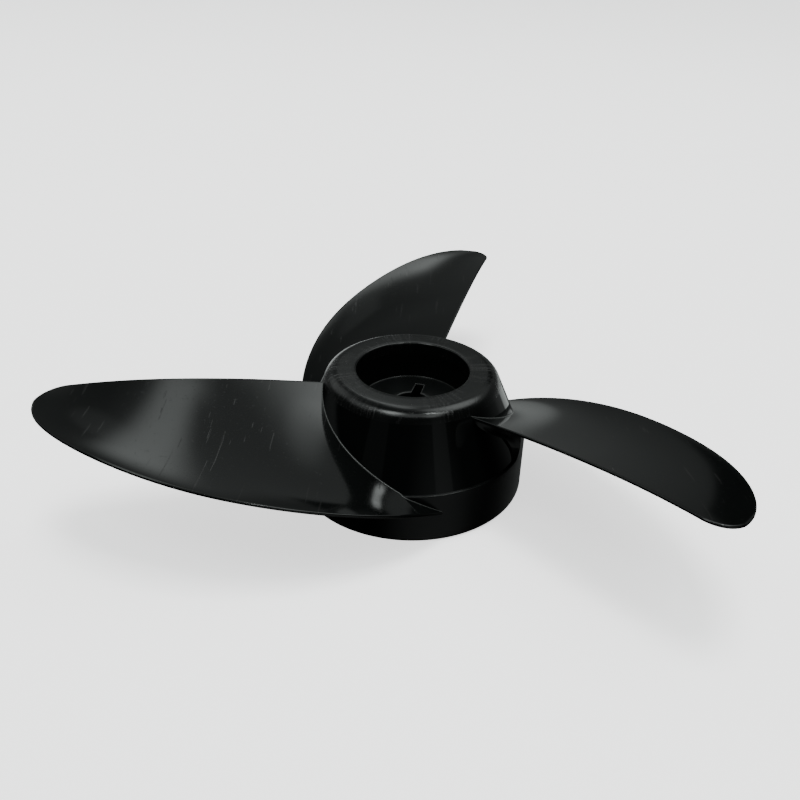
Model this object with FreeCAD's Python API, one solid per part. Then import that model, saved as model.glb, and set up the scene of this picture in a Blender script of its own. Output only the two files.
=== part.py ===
"""Three-bladed moulded propeller for an electric outboard (trolling) motor.

Frame: the shaft axis is +Z and points aft, away from the motor.  The origin is on the
axis, in the plane of the hub's motor-side face, so the propeller rests on Z = 0.
All lengths are millimetres and all angles are degrees unless a name says otherwise.

The real propeller is one plastic moulding.  It is divided here where its form changes,
so that every region is a solid of its own, and neighbours share faces without overlap.
"""
import FreeCAD
import Part
import math
import os
from FreeCAD import Vector

# ---- overall ----
TIP_RADIUS = 127.0
HUB_HEIGHT = 45.0
BLADE_COUNT = 3
FIRST_TIP_ANGLE = 200.0

# ---- hub shell ----
COLLAR_RADIUS = 43.2
COLLAR_WALL = 3.4
COLLAR_FOOT_ROUND = 1.2
LEDGE_HEIGHT = 19.2
LEDGE_ROUND = 0.6
CONE_FOOT_RADIUS = 42.1
CONE_TOP_RADIUS = 31.85
CONE_TOP_HEIGHT = 42.6
CONE_WALL = 3.0
RIM_THICKNESS = 4.2
RIM_ROUND = 5.5

# ---- nut well, seat and boss ----
WELL_MOUTH_RADIUS = 20.7
WELL_FLOOR_RADIUS = 19.6
WELL_FLOOR_HEIGHT = 30.8
WELL_WALL = 2.6
WELL_MOUTH_CHAMFER = 0.5
SEAT_THICKNESS = 3.6
BORE_DIAMETER = 12.9
BOSS_RADIUS = 17.0
BOSS_FOOT_HEIGHT = 0.0
PIN_SLOT_LENGTH = 26.4
PIN_SLOT_WIDTH = 3.5
PIN_SLOT_ANGLE = 79.0

# ---- stiffening ribs in the hollow underside ----
RIB_COUNT = 6
RIB_THICKNESS = 2.4
RIB_FOOT_HEIGHT = 3.0
RIB_FIRST_ANGLE = 19.0

# ---- blade: a screw surface with rake, cut to a swept-back plan outline ----
PITCH = 113.4
PITCH_FALL_START = 84.0
PITCH_FALL = 0.85
PITCH_FALL_POWER = 2.6
TIP_HEIGHT = 46.6
RAKE_SQUARE = 0.039
RAKE_CUBE = 0.0035
SWEEP_ROUND = 0.095
SWEEP_LINEAR = 0.30
SWEEP_SQUARE = 0.28
TRAILING_OFFSET = 3.77
TRAILING_SLOPE = 0.058
TIP_CORNER_RADIUS = 9.5
EDGE_THICKNESS = 1.3
ROOT_THICKNESS = 5.0
TIP_THICKNESS = 1.8
CAMBER_RATIO = 0.03
FLARE_HEIGHT = 2.6
FLARE_WIDTH = 11.0

# ---- step of the collar that carries each blade root ----
STEP_START_SWEEP = 15.5
STEP_END_SWEEP = 66.0

AXIS = Vector(0, 0, 1)
CENTRE = Vector(0, 0, 0)
CONE_SLOPE = (CONE_FOOT_RADIUS - CONE_TOP_RADIUS) / (CONE_TOP_HEIGHT - LEDGE_HEIGHT)
RIM_BASE_HEIGHT = HUB_HEIGHT - RIM_THICKNESS
SEAT_FOOT_HEIGHT = WELL_FLOOR_HEIGHT - SEAT_THICKNESS
LEAD = PITCH / (2.0 * math.pi)


def revolve(outline):
    """Solid of revolution about the shaft axis from (radius, height) corners."""
    points = [Vector(radius, 0, height) for radius, height in outline]
    points.append(points[0])
    return Part.Face(Part.makePolygon(points)).revolve(CENTRE, AXIS, 360.0)


def round_rim(solid, radius, height, size):
    """Fillet the circular edge at the given radius and height."""
    edges = []
    for edge in solid.Edges:
        if not isinstance(edge.Curve, Part.Circle):
            continue
        same_radius = abs(edge.Curve.Radius - radius) < 1e-4
        same_height = abs(edge.Curve.Center.z - height) < 1e-4
        if same_radius and same_height:
            edges.append(edge)
    return solid.makeFillet(size, edges)


def turn(solid, angle):
    turned = solid.copy()
    turned.rotate(CENTRE, AXIS, angle)
    return turned


def cone_radius(height):
    """Outside radius of the tapered hub wall."""
    return CONE_TOP_RADIUS + CONE_SLOPE * (CONE_TOP_HEIGHT - height)


def cone_inner_radius(height):
    return cone_radius(height) - CONE_WALL


def well_radius(height):
    """Inside radius of the tapered nut well."""
    depth = (HUB_HEIGHT - height) / (HUB_HEIGHT - WELL_FLOOR_HEIGHT)
    return WELL_MOUTH_RADIUS + (WELL_FLOOR_RADIUS - WELL_MOUTH_RADIUS) * depth


# ---------------------------------------------------------------- hub

def hub_envelope():
    """The outside of the whole hub as one plain solid, used to trim its neighbours."""
    return revolve([
        (0, 0),
        (COLLAR_RADIUS, 0),
        (COLLAR_RADIUS, LEDGE_HEIGHT),
        (CONE_FOOT_RADIUS, LEDGE_HEIGHT),
        (cone_radius(HUB_HEIGHT), HUB_HEIGHT),
        (0, HUB_HEIGHT),
    ])


def motor_collar():
    """Cylindrical skirt next to the motor, with the narrow ledge on its upper end."""
    inside = COLLAR_RADIUS - COLLAR_WALL
    collar = revolve([
        (inside, 0),
        (COLLAR_RADIUS, 0),
        (COLLAR_RADIUS, LEDGE_HEIGHT),
        (cone_inner_radius(LEDGE_HEIGHT), LEDGE_HEIGHT),
        (inside, LEDGE_HEIGHT - COLLAR_WALL / 2),
    ])
    collar = round_rim(collar, COLLAR_RADIUS, 0, COLLAR_FOOT_ROUND)
    return round_rim(collar, COLLAR_RADIUS, LEDGE_HEIGHT, LEDGE_ROUND)


def hub_cone():
    """Tapered wall from the ledge up to the underside of the aft rim."""
    return revolve([
        (cone_inner_radius(LEDGE_HEIGHT), LEDGE_HEIGHT),
        (CONE_FOOT_RADIUS, LEDGE_HEIGHT),
        (cone_radius(RIM_BASE_HEIGHT), RIM_BASE_HEIGHT),
        (cone_inner_radius(RIM_BASE_HEIGHT), RIM_BASE_HEIGHT),
    ])


def aft_rim():
    """Flat ring on the aft end, with a rounded outer shoulder and a bevelled mouth."""
    ring = revolve([
        (well_radius(RIM_BASE_HEIGHT), RIM_BASE_HEIGHT),
        (cone_radius(RIM_BASE_HEIGHT), RIM_BASE_HEIGHT),
        (cone_radius(HUB_HEIGHT), HUB_HEIGHT),
        (WELL_MOUTH_RADIUS + WELL_MOUTH_CHAMFER, HUB_HEIGHT),
        (WELL_MOUTH_RADIUS, HUB_HEIGHT - WELL_MOUTH_CHAMFER),
    ])
    return round_rim(ring, cone_radius(HUB_HEIGHT), HUB_HEIGHT, RIM_ROUND)


def nut_well():
    """Tapered wall of the well that takes the propeller nut."""
    return revolve([
        (WELL_FLOOR_RADIUS, SEAT_FOOT_HEIGHT),
        (WELL_FLOOR_RADIUS + WELL_WALL, SEAT_FOOT_HEIGHT),
        (WELL_FLOOR_RADIUS + WELL_WALL, WELL_FLOOR_HEIGHT),
        (well_radius(RIM_BASE_HEIGHT) + WELL_WALL, RIM_BASE_HEIGHT),
        (well_radius(RIM_BASE_HEIGHT), RIM_BASE_HEIGHT),
        (WELL_FLOOR_RADIUS, WELL_FLOOR_HEIGHT),
    ])


def pin_slot():
    """Cutter for the drive-pin slot, across the bore and right through the boss."""
    slot = Part.makeBox(
        PIN_SLOT_LENGTH,
        PIN_SLOT_WIDTH,
        2 * HUB_HEIGHT,
        Vector(-PIN_SLOT_LENGTH / 2, -PIN_SLOT_WIDTH / 2, -HUB_HEIGHT / 2),
    )
    return turn(slot, PIN_SLOT_ANGLE)


def nut_seat():
    """Floor of the well, which the propeller nut and its washer press on."""
    disc = revolve([
        (BORE_DIAMETER / 2, SEAT_FOOT_HEIGHT),
        (WELL_FLOOR_RADIUS, SEAT_FOOT_HEIGHT),
        (WELL_FLOOR_RADIUS, WELL_FLOOR_HEIGHT),
        (BORE_DIAMETER / 2, WELL_FLOOR_HEIGHT),
    ])
    return disc.cut(pin_slot())


def shaft_boss():
    """Central tube that fits the motor shaft."""
    boss = revolve([
        (BORE_DIAMETER / 2, BOSS_FOOT_HEIGHT),
        (BOSS_RADIUS, BOSS_FOOT_HEIGHT),
        (BOSS_RADIUS, SEAT_FOOT_HEIGHT),
        (BORE_DIAMETER / 2, SEAT_FOOT_HEIGHT),
    ])
    return boss.cut(pin_slot())


def hub_rib(angle):
    """Radial web that ties the boss and the nut well to the outer shell."""
    room = revolve([
        (BOSS_RADIUS, RIB_FOOT_HEIGHT),
        (COLLAR_RADIUS - COLLAR_WALL, RIB_FOOT_HEIGHT),
        (COLLAR_RADIUS - COLLAR_WALL, LEDGE_HEIGHT - COLLAR_WALL / 2),
        (cone_inner_radius(LEDGE_HEIGHT), LEDGE_HEIGHT),
        (cone_inner_radius(RIM_BASE_HEIGHT), RIM_BASE_HEIGHT),
        (well_radius(RIM_BASE_HEIGHT) + WELL_WALL, RIM_BASE_HEIGHT),
        (WELL_FLOOR_RADIUS + WELL_WALL, WELL_FLOOR_HEIGHT),
        (WELL_FLOOR_RADIUS + WELL_WALL, SEAT_FOOT_HEIGHT),
        (BOSS_RADIUS, SEAT_FOOT_HEIGHT),
    ])
    plate = Part.makeBox(
        COLLAR_RADIUS,
        RIB_THICKNESS,
        HUB_HEIGHT,
        Vector(0, -RIB_THICKNESS / 2, 0),
    )
    return room.common(turn(plate, angle))


# ---------------------------------------------------------------- blade
# Every blade is drawn with its tip on the +X axis.  "sweep" is the angle about the shaft
# from the tip's radial line, positive towards the leading edge.

def tip_distance(radius):
    return (TIP_RADIUS - radius) / COLLAR_RADIUS


def leading_sweep(radius):
    """Sweep of the leading edge, in radians: zero at the tip, a quarter turn at the hub."""
    inward = max(tip_distance(radius), 0.0)
    square = 1.0 - SWEEP_SQUARE * inward
    linear = SWEEP_LINEAR * inward
    constant = SWEEP_ROUND * inward
    return (linear + math.sqrt(linear ** 2 + 4 * square * constant)) / (2 * square)


def trailing_sweep(radius):
    """Sweep of the nearly straight trailing edge, in radians."""
    return -(TRAILING_OFFSET / radius + TRAILING_SLOPE)


def screw_height(radius, sweep):
    """Height of the uncambered blade surface: rake along the radius, pitch along the sweep."""
    inward = tip_distance(radius)
    rake = COLLAR_RADIUS * (RAKE_SQUARE * inward ** 2 + RAKE_CUBE * inward ** 3)
    outer = (radius - PITCH_FALL_START) / (TIP_RADIUS - PITCH_FALL_START)
    outer = min(max(outer, 0.0), 1.0)
    lead = LEAD * (1.0 - PITCH_FALL * outer ** PITCH_FALL_POWER)
    return TIP_HEIGHT - rake - lead * sweep


def mid_chord_bump(radius, sweep):
    """One at mid chord, fading to about a seventh at both edges."""
    lead_edge = leading_sweep(radius)
    trail_edge = trailing_sweep(radius)
    half_chord = max((lead_edge - trail_edge) / 2, 0.1)
    from_middle = (sweep - (lead_edge + trail_edge) / 2) / half_chord
    return math.exp(-2.0 * from_middle ** 2)


def mid_surface_height(radius, sweep):
    chord = radius * (leading_sweep(radius) - trailing_sweep(radius))
    return screw_height(radius, sweep) - CAMBER_RATIO * chord * mid_chord_bump(radius, sweep)


def half_thickness(radius, sweep):
    outward = radius / TIP_RADIUS
    middle = ROOT_THICKNESS + (TIP_THICKNESS - ROOT_THICKNESS) * outward
    thickness = EDGE_THICKNESS + (middle - EDGE_THICKNESS) * mid_chord_bump(radius, sweep)
    return thickness / 2


def root_radius(sweep):
    """Radius at which the blade meets the hub, from the cone round to the collar."""
    start = cone_radius(screw_height(CONE_TOP_RADIUS, 0.0))
    return min(start + (COLLAR_RADIUS - start) * max(sweep, 0.0) / math.radians(86), COLLAR_RADIUS)


def flare_lift(radius, sweep):
    """Concave flare of the upper face where it runs up to the hub."""
    inward = 1.0 - (radius - root_radius(sweep)) / FLARE_WIDTH
    inward = min(max(inward, 0.0), 1.0)
    return FLARE_HEIGHT * inward ** 2


def upper_height(radius, sweep):
    middle = mid_surface_height(radius, sweep)
    return middle + half_thickness(radius, sweep) + flare_lift(radius, sweep)


def lower_height(radius, sweep):
    return mid_surface_height(radius, sweep) - half_thickness(radius, sweep)


def solid_under(height_of, margin):
    """Everything below a blade face, reaching past the blade's outline by a margin."""
    inner_radius = 0.6 * COLLAR_RADIUS - margin
    outer_radius = TIP_RADIUS + margin
    radius_steps = 22
    sweep_steps = 26
    first_sweep = math.radians(-16 - margin)
    last_sweep = math.radians(94 + margin)
    rows = []
    for i in range(radius_steps + 1):
        radius = inner_radius + (outer_radius - inner_radius) * i / radius_steps
        row = []
        for j in range(sweep_steps + 1):
            sweep = first_sweep + (last_sweep - first_sweep) * j / sweep_steps
            height = height_of(radius, sweep)
            row.append(Vector(radius * math.cos(sweep), radius * math.sin(sweep), height))
        rows.append(row)
    surface = Part.BSplineSurface()
    surface.interpolate(rows)
    return surface.toShape().extrude(Vector(0, 0, -3 * HUB_HEIGHT))


def polar(radius, sweep):
    return Vector(radius * math.cos(sweep), radius * math.sin(sweep), -HUB_HEIGHT)


def outline_prism():
    """Vertical prism of the blade's plan outline, from inside the hub to the tip."""
    foot = -HUB_HEIGHT
    inner_x = 0.6 * COLLAR_RADIUS
    corner_x = TIP_RADIUS - TIP_CORNER_RADIUS
    trailing_root = Vector(inner_x, -TRAILING_OFFSET - TRAILING_SLOPE * inner_x, foot)
    trailing_end = Vector(corner_x, -TRAILING_OFFSET - TRAILING_SLOPE * corner_x, foot)
    tip = Vector(TIP_RADIUS, trailing_end.y + TIP_CORNER_RADIUS, foot)
    corner_middle = Vector(
        corner_x + TIP_CORNER_RADIUS * math.sqrt(0.5),
        tip.y - TIP_CORNER_RADIUS * math.sqrt(0.5),
        foot,
    )
    leading_points = [tip]
    leading_steps = 12
    root_end = 0.93 * COLLAR_RADIUS
    for i in range(1, leading_steps + 1):
        radius = TIP_RADIUS - (TIP_RADIUS - root_end) * (i / leading_steps) ** 2
        leading_points.append(polar(radius, leading_sweep(radius)))
    leading = Part.BSplineCurve()
    leading.interpolate(leading_points)
    inner = polar(inner_x, leading_sweep(root_end))
    edges = [
        Part.makeLine(trailing_root, trailing_end),
        Part.Arc(trailing_end, corner_middle, tip).toShape(),
        leading.toShape(),
        Part.makeLine(leading_points[-1], inner),
        Part.makeLine(inner, trailing_root),
    ]
    return Part.Face(Part.Wire(edges)).extrude(Vector(0, 0, 3 * HUB_HEIGHT))


def blade(below_upper, below_lower, envelope):
    slab = outline_prism().common(below_upper).cut(below_lower)
    return slab.cut(envelope)


def blade_step(below_lower, envelope):
    """Part of the collar that rises from the ledge to the underside of a blade."""
    ring = revolve([
        (0.6 * COLLAR_RADIUS, LEDGE_HEIGHT),
        (COLLAR_RADIUS, LEDGE_HEIGHT),
        (COLLAR_RADIUS, HUB_HEIGHT),
        (0.6 * COLLAR_RADIUS, HUB_HEIGHT),
    ])
    reach = 2 * COLLAR_RADIUS
    start = math.radians(STEP_START_SWEEP)
    end = math.radians(STEP_END_SWEEP)
    wedge_corners = [
        Vector(0, 0, 0),
        Vector(reach * math.cos(start), reach * math.sin(start), 0),
        Vector(reach * math.cos(end), reach * math.sin(end), 0),
        Vector(0, 0, 0),
    ]
    wedge = Part.Face(Part.makePolygon(wedge_corners)).extrude(Vector(0, 0, HUB_HEIGHT))
    return ring.common(wedge).common(below_lower).cut(envelope)


# ---------------------------------------------------------------- assembly

def largest_solid(shape):
    return max(shape.Solids, key=lambda solid: solid.Volume)


def build():
    envelope = hub_envelope()
    below_upper = solid_under(upper_height, 2.0)
    below_lower = solid_under(lower_height, 4.0)
    first_blade = largest_solid(blade(below_upper, below_lower, envelope))
    first_step = largest_solid(blade_step(below_lower, envelope))
    nodes = {
        "motor_collar": motor_collar(),
        "hub_cone": hub_cone(),
        "aft_rim": aft_rim(),
        "nut_well": nut_well(),
        "nut_seat": nut_seat(),
        "shaft_boss": shaft_boss(),
    }
    for number in range(RIB_COUNT):
        rib = hub_rib(RIB_FIRST_ANGLE + number * 360.0 / RIB_COUNT)
        nodes["hub_rib_%d" % (number + 1)] = rib
    for number in range(BLADE_COUNT):
        angle = FIRST_TIP_ANGLE + number * 360.0 / BLADE_COUNT
        nodes["blade_%d" % (number + 1)] = turn(first_blade, angle)
        nodes["blade_step_%d" % (number + 1)] = turn(first_step, angle)
    return nodes


os.makedirs("parts", exist_ok=True)
for name, shape in build().items():
    solid = largest_solid(shape)
    box = solid.BoundBox
    print(name, len(shape.Solids), solid.isValid(), round(solid.Volume, 1),
          [round(v, 1) for v in (box.XMin, box.YMin, box.ZMin, box.XMax, box.YMax, box.ZMax)])
    solid.exportStep("parts/%s.step" % name)
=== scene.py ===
import math

import bpy
import numpy as np
from mathutils import Matrix, Vector


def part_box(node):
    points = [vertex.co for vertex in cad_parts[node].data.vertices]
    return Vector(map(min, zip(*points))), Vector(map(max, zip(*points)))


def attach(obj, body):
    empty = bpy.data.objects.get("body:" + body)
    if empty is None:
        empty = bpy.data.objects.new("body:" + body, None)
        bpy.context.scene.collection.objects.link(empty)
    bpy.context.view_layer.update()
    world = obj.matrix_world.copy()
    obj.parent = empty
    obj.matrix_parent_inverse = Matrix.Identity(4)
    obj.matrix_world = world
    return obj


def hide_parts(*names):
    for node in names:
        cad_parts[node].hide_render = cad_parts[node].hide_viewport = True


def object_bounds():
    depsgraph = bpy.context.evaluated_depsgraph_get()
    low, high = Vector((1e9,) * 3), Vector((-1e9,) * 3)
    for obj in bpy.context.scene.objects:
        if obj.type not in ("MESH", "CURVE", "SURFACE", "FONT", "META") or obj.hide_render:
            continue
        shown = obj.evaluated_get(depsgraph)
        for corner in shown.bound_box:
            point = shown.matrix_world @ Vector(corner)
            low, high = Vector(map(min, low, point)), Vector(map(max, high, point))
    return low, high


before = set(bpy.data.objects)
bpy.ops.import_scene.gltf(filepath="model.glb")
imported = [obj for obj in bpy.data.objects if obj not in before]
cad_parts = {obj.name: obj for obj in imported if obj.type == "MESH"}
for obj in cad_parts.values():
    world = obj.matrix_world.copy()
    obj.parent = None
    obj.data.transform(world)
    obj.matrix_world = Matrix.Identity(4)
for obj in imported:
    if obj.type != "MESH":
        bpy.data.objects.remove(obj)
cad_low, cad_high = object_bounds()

# A moulded three-bladed propeller.  Lengths are metres; the shaft axis is +Z, pointing aft.

MM = 0.001

# ---- sizes read from the frame ----
COLLAR_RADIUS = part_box("motor_collar")[1].x
LEDGE_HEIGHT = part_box("motor_collar")[1].z
CONE_FOOT_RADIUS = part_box("hub_cone")[1].x
RIM_BASE_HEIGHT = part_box("hub_cone")[1].z
HUB_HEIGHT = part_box("aft_rim")[1].z
RIM_BASE_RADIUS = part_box("aft_rim")[1].x
WELL_FLOOR_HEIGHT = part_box("nut_seat")[1].z
SEAT_FOOT_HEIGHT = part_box("nut_seat")[0].z
SEAT_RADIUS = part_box("nut_seat")[1].x
TIP_MARGIN = 0.1 * MM
BLADE_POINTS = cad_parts["blade_1"].data.vertices
TIP_RADIUS = max(math.hypot(v.co.x, v.co.y) for v in BLADE_POINTS) - TIP_MARGIN

# ---- sizes of the hub that no single box gives ----
CONE_SLOPE = (CONE_FOOT_RADIUS - RIM_BASE_RADIUS) / (RIM_BASE_HEIGHT - LEDGE_HEIGHT)
COLLAR_WALL = 3.4 * MM
CONE_WALL = 3.0 * MM
COLLAR_FOOT_ROUND = 1.2 * MM
LEDGE_ROUND = 0.6 * MM
RIM_ROUND = 5.5 * MM
WELL_MOUTH_RADIUS = 20.7 * MM
WELL_FLOOR_RADIUS = 19.6 * MM
# The wall comes out as 0, so the well's skin is a lining whose two sides coincide.
WELL_WALL = SEAT_RADIUS - WELL_FLOOR_RADIUS
MOUTH_BEVEL = 0.8 * MM
WELL_FLOOR_ROUND = 0.6 * MM
BORE_RADIUS = 6.45 * MM
SLOT_LENGTH = 26.4 * MM
SLOT_WIDTH = 3.5 * MM
SLOT_ANGLE = math.radians(79.0)
SEAT_BEVEL = 0.45 * MM
SEAT_EDGE_RADIUS = 0.14 * MM

# ---- blade form: the same screw surface and outline as the frame's blades ----
BLADE_COUNT = 3
FIRST_TIP_ANGLE = math.radians(200.0)
LEAD = 113.4 * MM / (2 * math.pi)
LEAD_FALL_START = 84.0 * MM
LEAD_FALL = 0.85
LEAD_FALL_POWER = 2.6
TIP_HEIGHT = 46.6 * MM
RAKE_SQUARE = 0.039
RAKE_CUBE = 0.0035
SWEEP_ROUND = 0.095
SWEEP_LINEAR = 0.30
SWEEP_SQUARE = 0.28
TRAILING_OFFSET = 3.77 * MM
TRAILING_SLOPE = 0.058
TIP_CORNER_RADIUS = 9.5 * MM
EDGE_THICKNESS = 1.2 * MM
OUTER_BULGE = 0.25 * MM
ROOT_UPPER_BULGE = 2.4 * MM
ROOT_LOWER_BULGE = 1.6 * MM
ROOT_ZONE_START = 36.0 * MM
ROOT_ZONE_LENGTH = 32.0 * MM
ROOT_ROW_RADIUS = 33.2 * MM
ROOT_DEPTH = 0.8 * MM
ROOT_FIRST_GUESS = 38.0 * MM
LEDGE_BLEND = 0.9 * MM
LEDGE_BLEND_ABOVE = 0.3 * MM
EDGE_ROUND_RUN = 0.6 * EDGE_THICKNESS
TIP_EDGE_LEFT = 0.02 * MM
BEAD_RADIUS = 0.3 * MM
BEAD_START_RADIUS = 34.0 * MM
BEAD_END_SWEEP_LEFT = 0.01
BEAD_THIN_SHARE = 0.35
CAMBER_RATIO = 0.03

# ---- step under each blade, and the pocket before it ----
STEP_FIRST_SWEEP = math.radians(-11.0)
STEP_END_SWEEP = math.radians(15.7)
STEP_LAST_SWEEP = math.radians(68.0)
STEP_WALL_RUN = 3.0 * MM
STEP_TOP_RADIUS = 0.82 * COLLAR_RADIUS
STEP_MIDDLE_RADIUS = 0.92 * COLLAR_RADIUS
STEP_TAPER_START = -0.15
STEP_TAPER_SWEEP = 0.20
STEP_FLARE = 1.2
STEP_FOOT_SINK = 0.4 * MM
STEP_TOP_SINK = 0.2 * MM
STEP_SKIN_SINK = 0.3 * MM
STEP_INNER_SINK = 1.2 * MM
POCKET_ROOF_HEIGHT = 32.75 * MM
POCKET_ROOF_FALL = 25.75 * MM
POCKET_ROOF_LEAN = 0.85
POCKET_ROOF_ROUND = 2.5 * MM
POCKET_FLOOR_ROUND = 5.0 * MM

# ---- fineness of the meshes ----
TURNED_SEGMENTS = 256
OPENING_SEGMENTS = 720
SEAT_RINGS = 8
BLADE_ROWS = 150
BLADE_COLUMNS = 72
ROWS_CROWD_TO_TIP = 1.8
STEP_ROWS = 90
STEP_COLUMNS = 200
BEAD_POINTS = 120
SHARP_ANGLE = math.radians(40)
TINY = 1e-9

# ---- wear ----
SCRATCH_GREY = 0.008
SCUFF_GREY = 0.030
SCUFFS_PER_RADIAN = 46.0
SCUFF_BANDS_PER_METRE = 120.0

# ---- floor: it turns up into a backdrop all round; (radius, rise) in metres ----
FLOOR_PROFILE = [
    (5.0, 0.0), (8.0, 0.05), (10.0, 0.3), (12.0, 1.0), (13.5, 2.2), (14.5, 3.8), (15.0, 6.0)]
FLOOR_SEGMENTS = 96
FLOOR_GAP = 0.1 * MM
FLOOR_GLOW = 1.4

# ---- camera ----
CAMERA_ELEVATION = math.radians(26.86)
CAMERA_ROLL = math.radians(3.02)
CAMERA_DISTANCE = 7.24 * COLLAR_RADIUS
AIM_RIGHT = 0.2438 * COLLAR_RADIUS
AIM_UP = 1.065 * COLLAR_RADIUS
CAMERA_SENSOR = 36.0
CAMERA_LENS = 35.87
CAMERA_SHIFT = (-0.045, -0.0605)

# ---- studio: angles in degrees, azimuth counted from the camera's side towards +X ----
ROOM_CAST = (0.95, 1.01, 0.99)
FILL_IN_FRONT = 0.010
FILL_BEHIND = 0.13
FILL_HIGH = 0.22
GAP_AZIMUTH = -108
GAP_HEIGHT = 0.42
STRIP_SOFT_FOOT = 0.08
STRIP_SOFT_HEAD = 0.02
LAMP_AIM_HEIGHT = 0.03

# Upright bands of light: azimuth, half width, faded half width, low and high elevation, level.
STRIPS = [
    (-173, 0.02, 0.09, 34, 66, 1.4),
    (-35, 0.18, 0.20, 2, 50, 0.045),
    (35, 0.135, 0.145, 2, 50, 0.09),
]

# Round soft lamps: azimuth, elevation, angle where it is gone, angle where it is full, level.
PATCHES = [
    (118, 61, 25, 0, 2.3),
    (36, 52, 12, 6, 1.8),
    (-30, 53, 10, 5, 1.5),
    (0, 60, 16, 8, 0.9),
    (50, 69.5, 3, 1, 42.0),
    (-164, -10, 16, 8, 1.0),
    (-163, 45, 6, 3, 0.12),
    (177, -8, 8, 3, 0.24),
    (150, 54, 8, 3, 0.4),
    (132, -3, 14, 8, 0.05),
    (-125, 32, 24, 4, 0.6),
    (58, 60, 8, 4, 3.4),
    (-82, 49, 22, 6, 0.8),
    (-42, 65, 12, 6, 6.0),
    (150, -13, 14, 9, 0.7),
    (25, -25, 45, 10, 0.28),
]


def cone_radius(height):
    return CONE_FOOT_RADIUS - CONE_SLOPE * (height - LEDGE_HEIGHT)


def well_radius(height):
    depth = (HUB_HEIGHT - height) / (HUB_HEIGHT - WELL_FLOOR_HEIGHT)
    return WELL_MOUTH_RADIUS + (WELL_FLOOR_RADIUS - WELL_MOUTH_RADIUS) * depth


def smooth_step(value):
    value = np.clip(value, 0.0, 1.0)
    return value * value * (3 - 2 * value)


# ------------------------------------------------------------------ mesh helpers

def make_piece(name, points, faces, material, slot, nodes=()):
    """A smooth-shaded mesh object that rides on the root body and stands for CAD nodes."""
    mesh = bpy.data.meshes.new(name)
    mesh.from_pydata([tuple(p) for p in points], [], faces)
    mesh.validate()
    mesh.materials.append(material)
    mesh.polygons.foreach_set("use_smooth", [True] * len(mesh.polygons))
    mesh.set_sharp_from_angle(angle=SHARP_ANGLE)
    piece = bpy.data.objects.new(name, mesh)
    bpy.context.scene.collection.objects.link(piece)
    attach(piece, "root")
    if nodes:
        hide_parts(*nodes)
    return piece


def grid_faces(rows, columns, close_rows=False, close_columns=False):
    """Quads of a grid of points stored row by row."""
    faces = []
    last_row = rows if close_rows else rows - 1
    last_column = columns if close_columns else columns - 1
    for i in range(last_row):
        below = i * columns
        above = ((i + 1) % rows) * columns
        for j in range(last_column):
            right = (j + 1) % columns
            faces.append((below + j, below + right, above + right, above + j))
    return faces


def arc(centre, radius, first, last, steps):
    """Points of a profile's round corner; angles in degrees from outward, towards up."""
    angles = np.radians(np.linspace(first, last, steps + 1))
    return [(centre[0] + radius * math.cos(a), centre[1] + radius * math.sin(a)) for a in angles]


def divide(profile, longest):
    """Adds points along the straight runs of a closed profile, none longer than given."""
    fine = []
    for (r0, z0), (r1, z1) in zip(profile, profile[1:] + profile[:1]):
        steps = max(1, math.ceil(math.hypot(r1 - r0, z1 - z0) / longest))
        fine += [(r0 + (r1 - r0) * k / steps, z0 + (z1 - z0) * k / steps) for k in range(steps)]
    return fine


def turned_mesh(profile):
    """Closed ring: a closed (radius, height) profile turned about the shaft axis."""
    points = []
    for k in range(TURNED_SEGMENTS):
        angle = 2 * math.pi * k / TURNED_SEGMENTS
        points += [(r * math.cos(angle), r * math.sin(angle), z) for r, z in profile]
    return points, grid_faces(TURNED_SEGMENTS, len(profile), close_rows=True, close_columns=True)


# ------------------------------------------------------------------ materials

def new_material(name, base, roughness, specular=0.5, ior=1.5):
    material = bpy.data.materials.new(name)
    material.use_nodes = True
    tree = material.node_tree
    shader = tree.nodes["Principled BSDF"]
    shader.inputs["Base Color"].default_value = (*base, 1)
    shader.inputs["Roughness"].default_value = roughness
    shader.inputs["Specular IOR Level"].default_value = specular
    shader.inputs["IOR"].default_value = ior
    return material, tree, shader


def add(tree, kind, **settings):
    node = tree.nodes.new(kind)
    for key, value in settings.items():
        setattr(node, key, value)
    return node


def object_coordinates(tree):
    return add(tree, "ShaderNodeTexCoord").outputs["Object"]


def noise(tree, vector, scale, detail=4.0, roughness=0.55):
    node = add(tree, "ShaderNodeTexNoise")
    node.inputs["Scale"].default_value = scale
    node.inputs["Detail"].default_value = detail
    node.inputs["Roughness"].default_value = roughness
    tree.links.new(vector, node.inputs["Vector"])
    return node.outputs["Fac"]


def remap(tree, value, low, high, out_low, out_high):
    node = add(tree, "ShaderNodeMapRange")
    node.inputs["From Min"].default_value = low
    node.inputs["From Max"].default_value = high
    node.inputs["To Min"].default_value = out_low
    node.inputs["To Max"].default_value = out_high
    tree.links.new(value, node.inputs["Value"])
    return node.outputs["Result"]


def math_node(tree, operation, first, second=0.0):
    node = add(tree, "ShaderNodeMath", operation=operation)
    for socket, value in zip(node.inputs, (first, second)):
        if isinstance(value, (int, float)):
            socket.default_value = value
        else:
            tree.links.new(value, socket)
    return node.outputs["Value"]


def scratches(tree, turn, scale, threshold):
    """Sparse hairlines: a very stretched noise, kept only where it peaks."""
    mapping = add(tree, "ShaderNodeMapping")
    mapping.inputs["Rotation"].default_value = (0.2, 0.15, turn)
    mapping.inputs["Scale"].default_value = (scale, scale * 0.02, scale * 0.3)
    tree.links.new(object_coordinates(tree), mapping.inputs["Vector"])
    streak = noise(tree, mapping.outputs["Vector"], 1.0, detail=2.0)
    return remap(tree, streak, threshold, threshold + 0.03, 0.0, 1.0)


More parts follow.
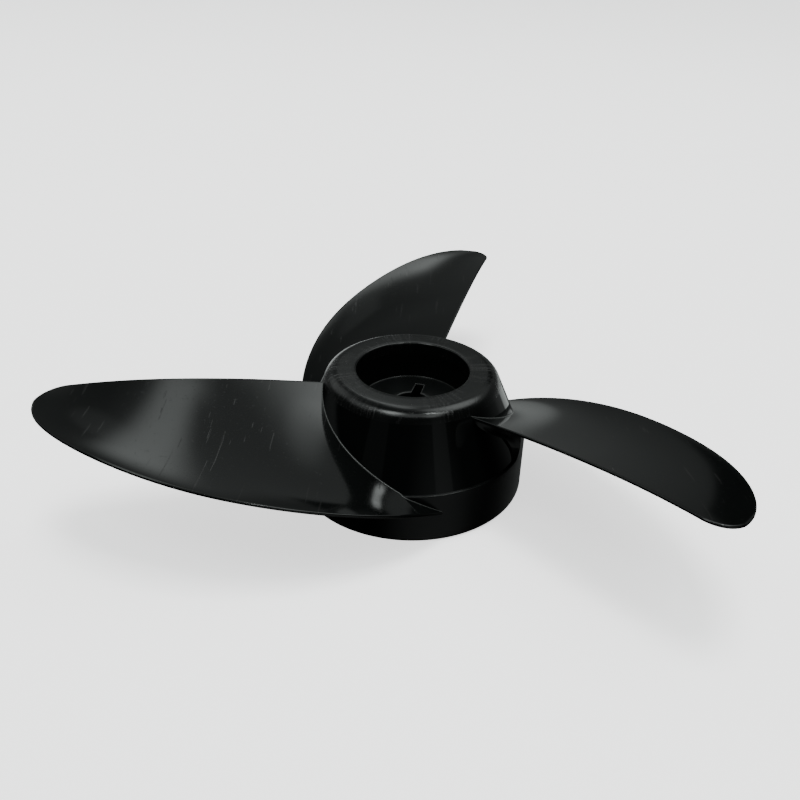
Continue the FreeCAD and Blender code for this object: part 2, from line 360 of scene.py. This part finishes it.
def radial_scuffs(tree):
    """Short scratches that run outwards from the shaft, in scattered patches."""
    place = object_coordinates(tree)
    split = add(tree, "ShaderNodeSeparateXYZ")
    tree.links.new(place, split.inputs["Vector"])
    turn = math_node(tree, "ARCTAN2", split.outputs["Y"], split.outputs["X"])
    joined = add(tree, "ShaderNodeCombineXYZ")
    tree.links.new(math_node(tree, "MULTIPLY", turn, SCUFFS_PER_RADIAN), joined.inputs["X"])
    height = math_node(tree, "MULTIPLY", split.outputs["Z"], SCUFF_BANDS_PER_METRE)
    tree.links.new(height, joined.inputs["Y"])
    lines = noise(tree, joined.outputs["Vector"], 1.0, detail=6.0, roughness=0.8)
    patches = noise(tree, place, 60.0, detail=1.0)
    return math_node(
        tree, "MULTIPLY",
        remap(tree, lines, 0.52, 0.66, 0.0, 1.0),
        remap(tree, patches, 0.38, 0.60, 0.0, 1.0))


def worn_lighter(tree, colour, marks, level):
    """Scratched plastic turns from black towards grey."""
    mix = add(tree, "ShaderNodeMixRGB")
    mix.inputs["Color2"].default_value = (level, level, level, 1)
    tree.links.new(colour, mix.inputs["Color1"])
    tree.links.new(marks, mix.inputs["Fac"])
    return mix.outputs["Color"]


def bump(tree, shader, height, strength, distance):
    node = add(tree, "ShaderNodeBump")
    node.inputs["Strength"].default_value = strength
    node.inputs["Distance"].default_value = distance
    tree.links.new(height, node.inputs["Height"])
    tree.links.new(node.outputs["Normal"], shader.inputs["Normal"])


def black_plastic(name, base, roughness, spread, waviness, grain, scratch_depth=0.0,
                  ior=1.5, radial=0.0):
    """Moulded black plastic: cloudy gloss, slight sink waviness, fine grain and hairlines."""
    material, tree, shader = new_material(name, base, roughness, ior=ior)
    vector = object_coordinates(tree)
    cloudy = noise(tree, vector, 38.0, detail=5.0)
    fine = noise(tree, vector, 900.0, detail=2.0)
    gloss = remap(tree, cloudy, 0.3, 0.7, roughness - spread, roughness + spread)
    speck = remap(tree, fine, 0.62, 0.75, 0.0, 0.12)
    tree.links.new(math_node(tree, "ADD", gloss, speck), shader.inputs["Roughness"])
    tint = add(tree, "ShaderNodeMixRGB")
    tint.inputs["Color1"].default_value = (*[c * 0.8 for c in base], 1)
    tint.inputs["Color2"].default_value = (*[c * 1.25 for c in base], 1)
    tree.links.new(cloudy, tint.inputs["Fac"])
    colour = tint.outputs["Color"]
    sink = noise(tree, vector, 26.0, detail=1.0)
    relief = math_node(tree, "MULTIPLY", sink, waviness)
    relief = math_node(tree, "ADD", relief, math_node(tree, "MULTIPLY", fine, grain))
    if scratch_depth:
        one_way = scratches(tree, 0.7, 900.0, 0.70)
        other_way = scratches(tree, 2.1, 700.0, 0.71)
        lines = math_node(tree, "MAXIMUM", one_way, other_way)
        relief = math_node(tree, "ADD", relief, math_node(tree, "MULTIPLY", lines, -scratch_depth))
        colour = worn_lighter(tree, colour, lines, SCRATCH_GREY)
    if radial:
        scuffs = radial_scuffs(tree)
        relief = math_node(tree, "ADD", relief, math_node(tree, "MULTIPLY", scuffs, -radial))
        colour = worn_lighter(tree, colour, scuffs, SCUFF_GREY)
    tree.links.new(colour, shader.inputs["Base Color"])
    bump(tree, shader, relief, 1.0, 1.0)
    return material


CONE_GLOSS = black_plastic(
    "cone_gloss", (0.0018, 0.0022, 0.0021), roughness=0.055, spread=0.015,
    waviness=0.00005, grain=0.0000015)
BLADE_SATIN = black_plastic(
    "blade_satin", (0.0024, 0.0028, 0.0027), roughness=0.10, spread=0.015,
    waviness=0.00004, grain=0.000001, scratch_depth=0.000009)
COLLAR_SATIN = black_plastic(
    "collar_satin", (0.0024, 0.0028, 0.0027), roughness=0.30, spread=0.05,
    waviness=0.00006, grain=0.000004, scratch_depth=0.000010, ior=1.4)
RIM_SATIN = black_plastic(
    "rim_satin", (0.0026, 0.0030, 0.0029), roughness=0.17, spread=0.03,
    waviness=0.00005, grain=0.000002, scratch_depth=0.000012, radial=0.000030)
CORE_MATTE = black_plastic(
    "core_matte", (0.0022, 0.0026, 0.0025), roughness=0.30, spread=0.06,
    waviness=0.00006, grain=0.000006, ior=1.38)
# Lighter grey base: partly worn moulding flash, partly a painted highlight that keeps the thin beads and
# edges bright under any lamp.
WORN_EDGE_AND_PAINTED_HIGHLIGHT = black_plastic(
    "worn_edge_and_painted_highlight", (0.040, 0.042, 0.041), roughness=0.25, spread=0.05,
    waviness=0.00002, grain=0.000004)


# ------------------------------------------------------------------ hub

def motor_collar():
    inside = COLLAR_RADIUS - COLLAR_WALL
    outer = COLLAR_RADIUS
    foot = COLLAR_FOOT_ROUND
    ledge = LEDGE_ROUND
    profile = [(inside, 0.0)]
    profile += arc((outer - foot, foot), foot, -90, 0, 8)
    profile += arc((outer - ledge, LEDGE_HEIGHT - ledge), ledge, 0, 90, 6)
    profile += [
        (cone_radius(LEDGE_HEIGHT) - CONE_WALL, LEDGE_HEIGHT),
        (inside, LEDGE_HEIGHT - COLLAR_WALL / 2),
    ]
    return turned_mesh(divide(profile, 2.5 * MM))


def hub_cone():
    profile = [
        (cone_radius(LEDGE_HEIGHT) - CONE_WALL, LEDGE_HEIGHT),
        (cone_radius(LEDGE_HEIGHT), LEDGE_HEIGHT),
        (cone_radius(RIM_BASE_HEIGHT), RIM_BASE_HEIGHT),
        (cone_radius(RIM_BASE_HEIGHT) - CONE_WALL, RIM_BASE_HEIGHT),
    ]
    return turned_mesh(divide(profile, 2.5 * MM))


def aft_rim():
    """The round on the shoulder is tangent to the cone below it and to the flat top."""
    lean = math.degrees(math.atan(CONE_SLOPE))
    tangent = RIM_ROUND * math.tan(math.radians((90 - lean) / 2))
    centre = (cone_radius(HUB_HEIGHT) - tangent, HUB_HEIGHT - RIM_ROUND)
    bevel = MOUTH_BEVEL
    profile = [
        (well_radius(RIM_BASE_HEIGHT), RIM_BASE_HEIGHT),
        (cone_radius(RIM_BASE_HEIGHT), RIM_BASE_HEIGHT),
    ]
    profile += arc(centre, RIM_ROUND, lean, 90, 18)
    profile += arc((WELL_MOUTH_RADIUS + bevel, HUB_HEIGHT - bevel), bevel, 90, 180, 5)
    return turned_mesh(divide(profile, 1.5 * MM))


def nut_well():
    """Lining of the well, from its floor up to the rim."""
    corner = WELL_FLOOR_ROUND
    profile = [
        (WELL_FLOOR_RADIUS - corner * (1 - math.cos(a)), WELL_FLOOR_HEIGHT + corner * (1 - math.sin(a)))
        for a in np.radians([0, 18, 36, 54, 72, 90])
    ]
    profile += [
        (WELL_FLOOR_RADIUS + WELL_WALL, WELL_FLOOR_HEIGHT),
        (well_radius(RIM_BASE_HEIGHT) + WELL_WALL, RIM_BASE_HEIGHT),
        (well_radius(RIM_BASE_HEIGHT), RIM_BASE_HEIGHT),
    ]
    return turned_mesh(divide(profile, 2.0 * MM))


def seat_opening(turns):
    """Distance from the axis to the edge of the round bore joined with the pin slot."""
    off_slot = np.abs(np.sin(turns - SLOT_ANGLE)) + TINY
    along_slot = np.minimum(SLOT_LENGTH / 2, SLOT_WIDTH / 2 / off_slot)
    return np.maximum(BORE_RADIUS, along_slot)


def nut_seat():
    """Disc on the well's floor, with the bore and the pin slot through it."""
    turns = np.linspace(0.0, 2 * math.pi, OPENING_SEGMENTS, endpoint=False)
    opening = seat_opening(turns)
    top = WELL_FLOOR_HEIGHT
    rings = [
        (np.full_like(turns, SEAT_RADIUS), SEAT_FOOT_HEIGHT),
        (np.full_like(turns, SEAT_RADIUS), top),
    ]
    for k in range(1, SEAT_RINGS + 1):
        rings.append((SEAT_RADIUS + (opening + SEAT_BEVEL - SEAT_RADIUS) * k / SEAT_RINGS, top))
    rings += [
        (opening + SEAT_BEVEL * 0.3, top - SEAT_BEVEL * 0.3),
        (opening, top - SEAT_BEVEL),
        (opening, SEAT_FOOT_HEIGHT),
    ]
    layers = [
        np.stack([r * np.cos(turns), r * np.sin(turns), np.full_like(turns, z)], axis=1)
        for r, z in rings
    ]
    faces = grid_faces(len(rings), len(turns), close_rows=True, close_columns=True)
    return np.concatenate(layers), faces


# ------------------------------------------------------------------ blade

def tip_distance(radius):
    return np.maximum((TIP_RADIUS - radius) / COLLAR_RADIUS, 0.0)


def leading_sweep(radius):
    inward = tip_distance(radius)
    square = 1.0 - SWEEP_SQUARE * inward
    linear = SWEEP_LINEAR * inward
    return (linear + np.sqrt(linear ** 2 + 4 * square * SWEEP_ROUND * inward)) / (2 * square)


def trailing_sweep(radius):
    """A straight edge across the plan, with a round corner at the tip."""
    centre_x = TIP_RADIUS - TIP_CORNER_RADIUS
    centre_y = TIP_CORNER_RADIUS - TRAILING_OFFSET - TRAILING_SLOPE * centre_x
    straight = -(TRAILING_OFFSET + TRAILING_SLOPE * radius)
    along = np.clip(radius - centre_x, 0.0, TIP_CORNER_RADIUS)
    rounded = centre_y - np.sqrt(TIP_CORNER_RADIUS ** 2 - along ** 2)
    return np.where(radius > centre_x, rounded, straight) / radius


def screw_height(radius, sweep):
    inward = tip_distance(radius)
    rake = COLLAR_RADIUS * (RAKE_SQUARE * inward ** 2 + RAKE_CUBE * inward ** 3)
    outer = np.clip((radius - LEAD_FALL_START) / (TIP_RADIUS - LEAD_FALL_START), 0.0, 1.0)
    lead = LEAD * (1.0 - LEAD_FALL * outer ** LEAD_FALL_POWER)
    return TIP_HEIGHT - rake - lead * sweep


def hub_radius(height):
    """Outside of the hub: the cone above the ledge, the collar's wall below it."""
    below = smooth_step((LEDGE_HEIGHT + LEDGE_BLEND_ABOVE - height) / LEDGE_BLEND)
    return cone_radius(height) * (1 - below) + COLLAR_RADIUS * below


def chord_length(radius):
    return radius * (leading_sweep(radius) - trailing_sweep(radius))


def chord_share(radius, sweep):
    """0 at the trailing edge, 1 at the leading edge."""
    trail = trailing_sweep(radius)
    return np.clip((sweep - trail) / (leading_sweep(radius) - trail + TINY), 0.0, 1.0)


def root_share(radius):
    """About 1 at the hub, fading evenly outwards and then, from 0.75 on, softly to 0."""
    outward = (radius - ROOT_ZONE_START) / ROOT_ZONE_LENGTH
    soft_end = np.maximum(1.25 - outward, 0.0) ** 2
    return np.where(outward < 0.75, 1.0 - outward, soft_end)


def face_height(radius, sweep, side):
    """Height of the blade's middle, and how far the upper (+1) or lower (-1) face is from it."""
    share = chord_share(radius, sweep)
    near_root = root_share(radius)
    belly = 4 * share * (1 - share)
    camber = CAMBER_RATIO * chord_length(radius) * belly * (1 - near_root)
    middle = screw_height(radius, sweep) - camber
    if side > 0:
        fullest_behind_middle = 6.75 * share ** 2 * (1 - share)
        root_bulge = ROOT_UPPER_BULGE * 0.5 * (belly + fullest_behind_middle)
    else:
        root_bulge = ROOT_LOWER_BULGE * belly
    half = EDGE_THICKNESS / 2 + OUTER_BULGE * belly * (1 - near_root) + root_bulge * near_root
    return middle, half


def root_radius(sweep):
    """Radius at which the blade's upper face meets the hub."""
    radius = np.full_like(sweep, ROOT_FIRST_GUESS)
    for _ in range(24):
        middle, half = face_height(radius, sweep, 1)
        radius = 0.5 * (radius + hub_radius(middle + half))
    return radius


def turned_about_shaft(points, angle):
    """Turns an array of points about the shaft axis."""
    cosine, sine = math.cos(angle), math.sin(angle)
    return np.stack([
        points[..., 0] * cosine - points[..., 1] * sine,
        points[..., 0] * sine + points[..., 1] * cosine,
        points[..., 2],
    ], axis=-1)


def blade_mesh(tip_angle):
    """One blade as a closed skin: upper face, rounded edges and lower face."""
    rows = np.linspace(0.0, 1.0, BLADE_ROWS)
    columns = 0.5 - 0.5 * np.cos(np.linspace(0.0, math.pi, BLADE_COLUMNS))
    inward = ((1 - rows) ** ROWS_CROWD_TO_TIP)[:, None]
    trail_radius = TIP_RADIUS - (TIP_RADIUS - ROOT_ROW_RADIUS) * inward
    lead_radius = TIP_RADIUS - (TIP_RADIUS - COLLAR_RADIUS + ROOT_DEPTH) * inward
    trail = trailing_sweep(trail_radius)
    lead = leading_sweep(lead_radius)
    c = columns[None, :]
    sweep = trail * (1 - c) + lead * c
    radius = trail_radius * (1 - c) + lead_radius * c
    hub_line = root_radius(sweep[0]) - ROOT_DEPTH
    radius = radius + (hub_line - radius[0])[None, :] * inward ** 3
    from_sides = np.minimum(c, 1 - c) * chord_length(radius)
    from_edge = np.minimum(from_sides, TIP_RADIUS - radius + TIP_EDGE_LEFT)
    near = np.clip(from_edge / EDGE_ROUND_RUN, 0.0, 1.0)
    edge_round = np.sqrt(1 - (1 - near) ** 2)
    faces_of_blade = []
    for side in (1, -1):
        middle, half = face_height(radius, sweep, side)
        height = middle + side * half * edge_round
        face = np.stack([radius * np.cos(sweep), radius * np.sin(sweep), height], axis=2)
        faces_of_blade.append(face)
    upper, lower = faces_of_blade
    loop = np.concatenate([upper, lower[:, -2:0:-1]], axis=1)
    count = loop.shape[1]
    points = turned_about_shaft(loop, tip_angle).reshape(-1, 3)
    faces = grid_faces(BLADE_ROWS, count, close_columns=True)
    faces.append(tuple(range(count)))
    faces.append(tuple(reversed(range((BLADE_ROWS - 1) * count, BLADE_ROWS * count))))
    return points, faces


def tube_mesh(path, radius, sides=10):
    """Round bar along an open path, with its ends closed; radius may vary along it."""
    path = np.asarray(path)
    along = np.gradient(path, axis=0)
    along /= np.linalg.norm(along, axis=1, keepdims=True)
    side = np.cross(along, (0.0, 0.0, 1.0))
    side /= np.linalg.norm(side, axis=1, keepdims=True)
    top = np.cross(side, along)
    turns = np.linspace(0.0, 2 * math.pi, sides, endpoint=False)
    ring = side[:, None] * np.cos(turns)[None, :, None]
    ring = ring + top[:, None] * np.sin(turns)[None, :, None]
    points = path[:, None] + ring * np.broadcast_to(radius, len(path))[:, None, None]
    faces = grid_faces(len(path), sides, close_columns=True)
    faces.append(tuple(reversed(range(sides))))
    faces.append(tuple(range((len(path) - 1) * sides, len(path) * sides)))
    return points.reshape(-1, 3), faces


def seat_edge_mesh():
    """The sharp moulded edge round the opening in the nut seat."""
    turns = np.linspace(0.0, 2 * math.pi, OPENING_SEGMENTS + 1) + SLOT_ANGLE + math.pi / 4
    radius = seat_opening(turns) + SEAT_BEVEL
    height = np.full_like(turns, WELL_FLOOR_HEIGHT - SEAT_EDGE_RADIUS / 2)
    path = np.stack([radius * np.cos(turns), radius * np.sin(turns), height], axis=1)
    return tube_mesh(path, SEAT_EDGE_RADIUS, sides=8)


def root_bead_mesh(tip_angle):
    """The thin bead along the line where a blade's upper face runs out on the hub."""
    first = trailing_sweep(np.array([BEAD_START_RADIUS]))[0]
    last = leading_sweep(np.array([COLLAR_RADIUS]))[0] - BEAD_END_SWEEP_LEFT
    sweep = np.linspace(first, last, BEAD_POINTS)
    radius = root_radius(sweep)
    height = sum(face_height(radius, sweep, 1))
    path = np.stack([radius * np.cos(sweep), radius * np.sin(sweep), height], axis=1)
    share = np.linspace(0.0, 1.0, len(sweep))
    full = np.sin(math.pi * np.clip(share, 0.04, 0.97)) ** 0.5
    radius_along = BEAD_RADIUS * (BEAD_THIN_SHARE + (1 - BEAD_THIN_SHARE) * full)
    return tube_mesh(turned_about_shaft(path, tip_angle), radius_along)


# ------------------------------------------------------------------ step under each blade

def rounded_corner(first, second, radius):
    """Distance outside a region with two straight sides that meet in a round corner."""
    bulge = np.hypot(np.maximum(first + radius, 0.0), np.maximum(second + radius, 0.0)) - radius
    return np.where(np.maximum(first, second) < -radius, np.maximum(first, second), bulge)


def blade_step_mesh(tip_angle):
    """Rise from the ledge to a blade's underside, round the closed end of the pocket before it."""
    rows, columns = STEP_ROWS, STEP_COLUMNS
    sweep = np.linspace(STEP_FIRST_SWEEP, STEP_LAST_SWEEP, columns)[None, :].repeat(rows, axis=0)
    foot = LEDGE_HEIGHT - STEP_FOOT_SINK
    under_blade = screw_height(STEP_TOP_RADIUS, sweep) - STEP_TOP_SINK
    top = np.maximum(under_blade, foot + STEP_TOP_SINK)
    height = foot + (top - foot) * np.linspace(0.0, 1.0, rows)[:, None]
    beyond_end = (sweep - STEP_END_SWEEP) * STEP_MIDDLE_RADIUS
    over_roof = (height - POCKET_ROOF_HEIGHT + POCKET_ROOF_FALL * sweep) * POCKET_ROOF_LEAN
    under_floor = LEDGE_HEIGHT - height
    outside = np.maximum(
        rounded_corner(beyond_end, over_roof, POCKET_ROOF_ROUND),
        rounded_corner(beyond_end, under_floor, POCKET_FLOOR_ROUND))
    cone = cone_radius(height)
    reach = smooth_step((sweep - STEP_TAPER_START) / STEP_TAPER_SWEEP)
    target = np.minimum(COLLAR_RADIUS, cone + STEP_FLARE * np.maximum(outside, 0.0) * reach)
    sunk = cone - STEP_SKIN_SINK
    outer = sunk + (target - sunk) * smooth_step(outside / STEP_WALL_RUN + 0.25)
    inner = cone - STEP_INNER_SINK
    angle = sweep + tip_angle
    points = []
    for layer in (outer, inner):
        skin = np.stack([layer * np.cos(angle), layer * np.sin(angle), height], axis=2)
        points.append(skin.reshape(-1, 3))
    count = rows * columns
    outer_faces = grid_faces(rows, columns)
    faces = outer_faces + [tuple(reversed([i + count for i in face])) for face in outer_faces]
    border = list(range(columns))
    border += [i * columns + columns - 1 for i in range(1, rows)]
    border += [(rows - 1) * columns + j for j in range(columns - 2, -1, -1)]
    border += [i * columns for i in range(rows - 2, 0, -1)]
    for here, there in zip(border, border[1:] + border[:1]):
        faces.append((here, here + count, there + count, there))
    return np.concatenate(points), faces


# ------------------------------------------------------------------ build

make_piece("motor_collar_skin", *motor_collar(), COLLAR_SATIN, "collar_satin", ["motor_collar"])
make_piece("hub_cone_skin", *hub_cone(), CONE_GLOSS, "cone_gloss", ["hub_cone"])
make_piece("aft_rim_skin", *aft_rim(), RIM_SATIN, "rim_satin", ["aft_rim"])
make_piece("nut_well_skin", *nut_well(), CORE_MATTE, "core_matte", ["nut_well"])
make_piece("nut_seat_skin", *nut_seat(), CORE_MATTE, "core_matte", ["nut_seat"])
# The seat's edge and each root bead get the lighter grey of worn flash and painted highlight.
make_piece("seat_edge", *seat_edge_mesh(), WORN_EDGE_AND_PAINTED_HIGHLIGHT, "core_matte")
for number in range(BLADE_COUNT):
    angle = FIRST_TIP_ANGLE + number * 2 * math.pi / BLADE_COUNT
    label = "%d" % (number + 1)
    make_piece("blade_skin_" + label, *blade_mesh(angle), BLADE_SATIN, "blade_satin", ["blade_" + label])
    make_piece("root_bead_" + label, *root_bead_mesh(angle), WORN_EDGE_AND_PAINTED_HIGHLIGHT, "blade_satin")
    make_piece("blade_step_skin_" + label, *blade_step_mesh(angle), COLLAR_SATIN, "collar_satin",
               ["blade_step_" + label])

for node_name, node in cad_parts.items():
    if node_name == "shaft_boss" or node_name.startswith("hub_rib"):
        node.data.materials.clear()
        node.data.materials.append(CORE_MATTE)

# ------------------------------------------------------------------ stage, camera and light

def make_floor():
    """A pale sweep that glows a little; it lights and mirrors in nothing."""
    material, tree, shader = new_material("pale_floor", (0.82, 0.82, 0.82), 0.8, 0.2)
    cloud = noise(tree, object_coordinates(tree), 3.0)
    tint = add(tree, "ShaderNodeMixRGB")
    tint.inputs["Color1"].default_value = (0.80, 0.80, 0.80, 1)
    tint.inputs["Color2"].default_value = (0.84, 0.84, 0.84, 1)
    tree.links.new(cloud, tint.inputs["Fac"])
    tree.links.new(tint.outputs["Color"], shader.inputs["Base Color"])
    level = cad_low.z - FLOOR_GAP
    points = []
    for radius, rise in FLOOR_PROFILE:
        for k in range(FLOOR_SEGMENTS):
            angle = 2 * math.pi * k / FLOOR_SEGMENTS
            points.append((radius * math.cos(angle), radius * math.sin(angle), level + rise))
    rings = grid_faces(len(FLOOR_PROFILE), FLOOR_SEGMENTS, close_columns=True)
    faces = [face[::-1] for face in rings]
    faces.append(tuple(range(FLOOR_SEGMENTS)))
    shader.inputs["Emission Color"].default_value = (1, 1, 1, 1)
    shader.inputs["Emission Strength"].default_value = FLOOR_GLOW
    mesh = bpy.data.meshes.new("floor")
    mesh.from_pydata(points, [], faces)
    mesh.polygons.foreach_set("use_smooth", [True] * len(mesh.polygons))
    mesh.materials.append(material)
    floor = bpy.data.objects.new("floor", mesh)
    bpy.context.scene.collection.objects.link(floor)
    floor.visible_glossy = False
    floor.visible_diffuse = False


def make_camera():
    """The camera looks along +Y and down, rolled a little, past a point above the hub's foot."""
    forward = Vector((0, math.cos(CAMERA_ELEVATION), -math.sin(CAMERA_ELEVATION)))
    level = Vector((1, 0, 0))
    upright = level.cross(forward)
    right = level * math.cos(CAMERA_ROLL) + upright * math.sin(CAMERA_ROLL)
    up = upright * math.cos(CAMERA_ROLL) - level * math.sin(CAMERA_ROLL)
    place = right * AIM_RIGHT + up * AIM_UP - forward * CAMERA_DISTANCE
    data = bpy.data.cameras.new("camera")
    data.sensor_width = CAMERA_SENSOR
    data.lens = CAMERA_LENS
    data.shift_x, data.shift_y = CAMERA_SHIFT
    data.clip_start = 0.01
    data.dof.use_dof = False
    camera = bpy.data.objects.new("camera", data)
    axes = Matrix((right, up, -forward)).transposed().to_4x4()
    camera.matrix_world = Matrix.Translation(place) @ axes
    bpy.context.scene.collection.objects.link(camera)
    bpy.context.scene.camera = camera


def direction(azimuth, elevation):
    """Unit vector; azimuth in degrees from the camera's side, towards +X."""
    a, e = math.radians(azimuth), math.radians(elevation)
    return Vector((math.sin(a) * math.cos(e), -math.cos(a) * math.cos(e), math.sin(e)))


def softbox(name, azimuth, elevation, distance, width, height, power):
    """Area light that faces the hub from a distance and shows in no reflection."""
    back = direction(azimuth, elevation)
    data = bpy.data.lights.new(name, "AREA")
    data.shape = "RECTANGLE"
    data.size = width
    data.size_y = height
    data.energy = power
    light = bpy.data.objects.new(name, data)
    light.location = Vector((0, 0, LAMP_AIM_HEIGHT)) + back * distance
    light.rotation_mode = "QUATERNION"
    light.rotation_quaternion = (-back).to_track_quat("-Z", "Y")
    light.visible_glossy = False
    light.visible_camera = False
    bpy.context.scene.collection.objects.link(light)


def make_world():
    """A dim studio: dark in front, grey behind, with upright strips and round soft lamps."""
    world = bpy.data.worlds.new("studio")
    world.use_nodes = True
    tree = world.node_tree
    place = add(tree, "ShaderNodeTexCoord").outputs["Generated"]

    def along(axis):
        node = add(tree, "ShaderNodeVectorMath", operation="DOT_PRODUCT")
        tree.links.new(place, node.inputs[0])
        node.inputs[1].default_value = axis
        return node.outputs["Value"]

    def ease(value, low, high, out_low=0.0, out_high=1.0):
        node = add(tree, "ShaderNodeMapRange", interpolation_type="SMOOTHSTEP")
        for socket, number in zip(node.inputs[1:5], (low, high, out_low, out_high)):
            socket.default_value = number
        tree.links.new(value, node.inputs["Value"])
        return node.outputs["Result"]

    def times(*values):
        product = values[0]
        for value in values[1:]:
            product = math_node(tree, "MULTIPLY", product, value)
        return product

    def strip(azimuth, core, fade, low, high, level):
        """Upright band of light between two elevations."""
        across = direction(azimuth + 90, 0)
        offset = math_node(tree, "ABSOLUTE", along(across))
        height = along((0, 0, 1))
        foot = math.sin(math.radians(low))
        head = math.sin(math.radians(high))
        return times(
            ease(offset, core, fade, 1.0, 0.0),
            ease(along(direction(azimuth, 0)), 0.0, 0.1),
            ease(height, foot - STRIP_SOFT_FOOT, foot + STRIP_SOFT_FOOT),
            ease(height, head - STRIP_SOFT_HEAD, head + STRIP_SOFT_HEAD, 1.0, 0.0),
            level)

    def patch(azimuth, elevation, edge, core, level):
        """Round soft light, full inside the core angle and gone at the edge angle."""
        near = along(direction(azimuth, elevation))
        return times(ease(near, math.cos(math.radians(edge)), math.cos(math.radians(core))), level)

    # A grey glow behind the hub, stronger high up, with one dark gap in it.
    fill = ease(along((0, 1, 0)), -0.1, 0.7, FILL_IN_FRONT, FILL_BEHIND)
    high_fill = times(
        ease(along((1, 0, 0)), -0.26, -0.06),
        ease(along((0, 0, 1)), 0.42, 0.56),
        ease(along((0, 1, 0)), -0.1, 0.3),
        FILL_HIGH)
    beside_gap = math_node(tree, "ABSOLUTE", along(direction(GAP_AZIMUTH, 0)))
    above_gap = math_node(tree, "SUBTRACT", along((0, 0, 1)), GAP_HEIGHT)
    gap = times(
        ease(beside_gap, 0.13, 0.17, 1.0, 0.0),
        ease(math_node(tree, "ABSOLUTE", above_gap), 0.09, 0.12, 1.0, 0.0),
        ease(along((0, 1, 0)), 0.0, 0.1))
    fill = math_node(tree, "ADD", fill, high_fill)
    total = math_node(tree, "MULTIPLY", fill, math_node(tree, "SUBTRACT", 1.0, gap))
    lamps = [strip(*numbers) for numbers in STRIPS] + [patch(*numbers) for numbers in PATCHES]
    for lamp in lamps:
        total = math_node(tree, "ADD", total, lamp)
    cast = add(tree, "ShaderNodeCombineColor")
    for channel, share in zip(cast.inputs, ROOM_CAST):
        tree.links.new(math_node(tree, "MULTIPLY", total, share), channel)
    tree.links.new(cast.outputs["Color"], tree.nodes["Background"].inputs["Color"])
    bpy.context.scene.world = world


make_floor()
make_camera()
make_world()
softbox("overhead", azimuth=0, elevation=88, distance=2.6, width=0.9, height=0.9, power=62)
